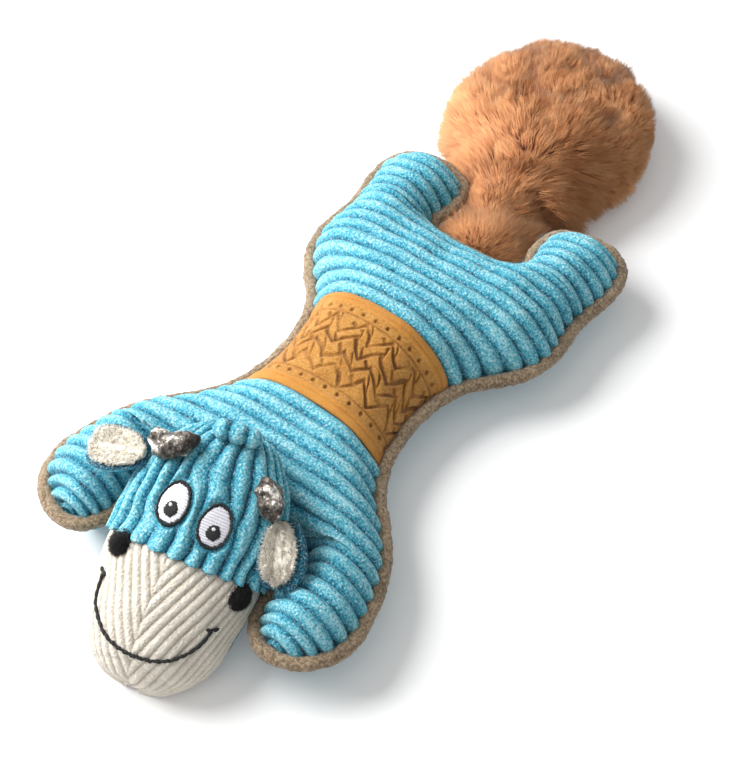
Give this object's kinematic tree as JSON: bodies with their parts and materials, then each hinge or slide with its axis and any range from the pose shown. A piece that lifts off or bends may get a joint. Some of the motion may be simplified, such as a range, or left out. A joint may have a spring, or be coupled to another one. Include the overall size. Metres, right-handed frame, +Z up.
{
  "type": "plush dog toy",
  "caption": "Flat-lying stuffed cow for dogs: corduroy body and head, embossed waist band, piped seam, stuffed horns, cloth ears, folding paws and a large fur tail.",
  "frame": {"origin": "middle of the bounding box, on the floor that the belly lies on", "axes": "+Z up, +Y from the head towards the tail, +X towards the toy's own left side"},
  "size_m": [0.156, 0.399, 0.0736],
  "materials": {
    "blue_corduroy": "wide-wale corduroy plush, light blue, mottled",
    "white_corduroy": "narrow-wale corduroy plush, off-white",
    "ochre_suede": "embossed microfibre suede, ochre",
    "taupe_fleece": "short fleece over a cord, grey brown",
    "caramel_fur": "long-pile faux fur, caramel brown",
    "silver_lame": "crushed metallic cloth, silver grey",
    "black_thread": "embroidery thread and short pile, black",
    "white_thread": "satin-stitch embroidery thread, white",
    "polyester_fibre": "loose polyester stuffing, white",
    "clear_vinyl": "soft translucent vinyl",
    "black_plastic": "hard moulded plastic"
  },
  "bodies": {
    "torso": {"chest_panel": "blue_corduroy", "waist_band": "ochre_suede", "hip_panel": "blue_corduroy", "belly_panel": "blue_corduroy", "body_stuffing": "polyester_fibre", "squeaker_bulb": "clear_vinyl", "squeaker_reed": "black_plastic", "piping_chest": "taupe_fleece", "piping_rump": "taupe_fleece", "piping_side_left": "taupe_fleece", "piping_side_right": "taupe_fleece"},
    "front_paw_left": {"front_paw_left_top": "blue_corduroy", "front_paw_left_under": "blue_corduroy", "front_paw_left_stuffing": "polyester_fibre", "front_paw_left_piping": "taupe_fleece"},
    "front_paw_right": {"front_paw_right_top": "blue_corduroy", "front_paw_right_under": "blue_corduroy", "front_paw_right_stuffing": "polyester_fibre", "front_paw_right_piping": "taupe_fleece"},
    "hind_paw_left": {"hind_paw_left_top": "blue_corduroy", "hind_paw_left_under": "blue_corduroy", "hind_paw_left_stuffing": "polyester_fibre", "hind_paw_left_piping": "taupe_fleece"},
    "hind_paw_right": {"hind_paw_right_top": "blue_corduroy", "hind_paw_right_under": "blue_corduroy", "hind_paw_right_stuffing": "polyester_fibre", "hind_paw_right_piping": "taupe_fleece"},
    "neck": {"neck_knot": "blue_corduroy"},
    "head": {"head_crown": "blue_corduroy", "head_muzzle": "white_corduroy", "head_back": "blue_corduroy", "head_stuffing": "polyester_fibre", "topknot": "blue_corduroy", "mouth_stitch": "black_thread", "eye_rim_left": "black_thread", "eye_white_left": "white_thread", "eye_pupil_left": "black_thread", "nostril_left": "black_thread", "eye_rim_right": "black_thread", "eye_white_right": "white_thread", "eye_pupil_right": "black_thread", "nostril_right": "black_thread"},
    "horn_left": {"horn_left": "silver_lame"},
    "horn_right": {"horn_right": "silver_lame"},
    "ear_left": {"ear_back_left": "blue_corduroy", "ear_lining_left": "white_corduroy"},
    "ear_right": {"ear_back_right": "blue_corduroy", "ear_lining_right": "white_corduroy"},
    "tail_root": {"tail_tab": "caramel_fur"},
    "tail": {"tail_fur_upper": "caramel_fur", "tail_fur_lower": "caramel_fur", "tail_stuffing": "polyester_fibre"}
  },
  "joints": [
    {"name": "neck_turn", "type": "hinge", "parent": "torso", "child": "neck", "pos_m": [-0.004, -0.1046, 0.0445], "axis": [0, 0, 1], "range_deg": [-14, 0], "stiffness_Nm_per_rad": 0.4},
    {"name": "head_nod", "type": "hinge", "parent": "neck", "child": "head", "pos_m": [-0.004, -0.1046, 0.0445], "axis": [-0.9613, -0.2756, 0], "range_deg": [0, 35], "stiffness_Nm_per_rad": 0.4},
    {"name": "front_paw_left_fold", "type": "hinge", "parent": "torso", "child": "front_paw_left", "pos_m": [0.0545, -0.113, 0.022], "axis": [1, 0, 0], "range_deg": [0, 25], "stiffness_Nm_per_rad": 0.1},
    {"name": "front_paw_right_fold", "type": "hinge", "parent": "torso", "child": "front_paw_right", "pos_m": [-0.0545, -0.113, 0.022], "axis": [1, 0, 0], "range_deg": [0, 25], "stiffness_Nm_per_rad": 0.1},
    {"name": "hind_paw_left_fold", "type": "hinge", "parent": "torso", "child": "hind_paw_left", "pos_m": [0.0435, 0.0499, 0.022], "axis": [1, 0, 0], "range_deg": [-12, 20], "stiffness_Nm_per_rad": 0.1},
    {"name": "hind_paw_right_fold", "type": "hinge", "parent": "torso", "child": "hind_paw_right", "pos_m": [-0.0435, 0.0499, 0.022], "axis": [1, 0, 0], "range_deg": [-12, 20], "stiffness_Nm_per_rad": 0.1},
    {"name": "ear_left_flap", "type": "hinge", "parent": "head", "child": "ear_left", "pos_m": [0.03216, -0.12134, 0.0472], "axis": [-0.8558, -0.5132, 0.0652], "range_deg": [0, 20], "stiffness_Nm_per_rad": 0.01},
    {"name": "ear_right_flap", "type": "hinge", "parent": "head", "child": "ear_right", "pos_m": [-0.02363, -0.13439, 0.05796], "axis": [-0.311, 0.8997, 0.3064], "range_deg": [0, 35], "stiffness_Nm_per_rad": 0.01},
    {"name": "horn_left_flop", "type": "hinge", "parent": "head", "child": "horn_left", "pos_m": [0.01959, -0.11912, 0.06344], "axis": [-0.0457, -0.7714, 0.6347], "range_deg": [0, 30], "stiffness_Nm_per_rad": 0.01},
    {"name": "horn_right_flop", "type": "hinge", "parent": "head", "child": "horn_right", "pos_m": [-0.02446, -0.13089, 0.06411], "axis": [0.2706, -0.8728, 0.4062], "range_deg": [0, 30], "stiffness_Nm_per_rad": 0.01},
    {"name": "tail_swing", "type": "hinge", "parent": "torso", "child": "tail_root", "pos_m": [0, 0.055, 0.015], "axis": [0, 0, 1], "range_deg": [-18, 0], "stiffness_Nm_per_rad": 0.3},
    {"name": "tail_lift", "type": "hinge", "parent": "tail_root", "child": "tail", "pos_m": [-0.00182, 0.06483, 0.015], "axis": [0.9833, 0.1822, 0], "range_deg": [0, 60], "stiffness_Nm_per_rad": 0.3}
  ]
}
